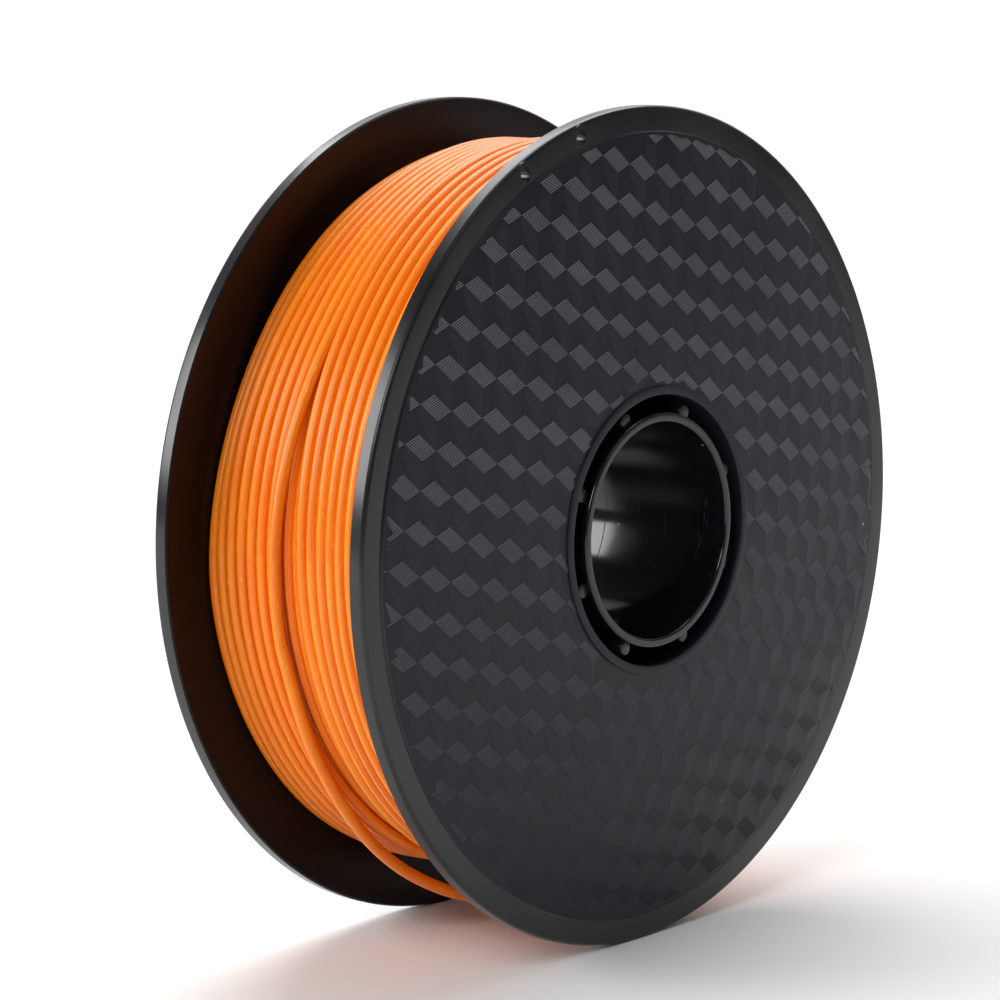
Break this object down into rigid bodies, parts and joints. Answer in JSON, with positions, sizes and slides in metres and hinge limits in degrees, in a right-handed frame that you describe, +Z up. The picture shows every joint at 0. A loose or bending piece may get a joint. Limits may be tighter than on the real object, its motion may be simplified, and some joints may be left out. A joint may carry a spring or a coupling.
{
  "type": "filament spool",
  "caption": "Full filament spool: two dished flanges with a relief pattern, a drum, a split bore sleeve, joining pins and wound filament.",
  "frame": {"origin": "middle of the bore, on the spool's axis, halfway between the flanges", "axes": "+Y along the spool's axis towards the back flange, +Z up as the spool stands on its rims, +X to the right seen from the front flange"},
  "size_m": [0.2, 0.074, 0.2],
  "materials": {
    "spool_plastic": "satin black moulded plastic with a relief pattern on the outer faces",
    "sleeve_plastic": "polished black plastic, lightly scratched",
    "filament": "satin orange thermoplastic strand"
  },
  "bodies": {
    "root": {"front_flange": "spool_plastic", "back_flange": "spool_plastic", "front_drum_half": "spool_plastic", "back_drum_half": "spool_plastic", "front_bore_sleeve": "sleeve_plastic", "back_bore_sleeve": "sleeve_plastic", "joining_pins": "spool_plastic", "filament_winding": "filament", "filament_tail": "filament"}
  },
  "joints": []
}
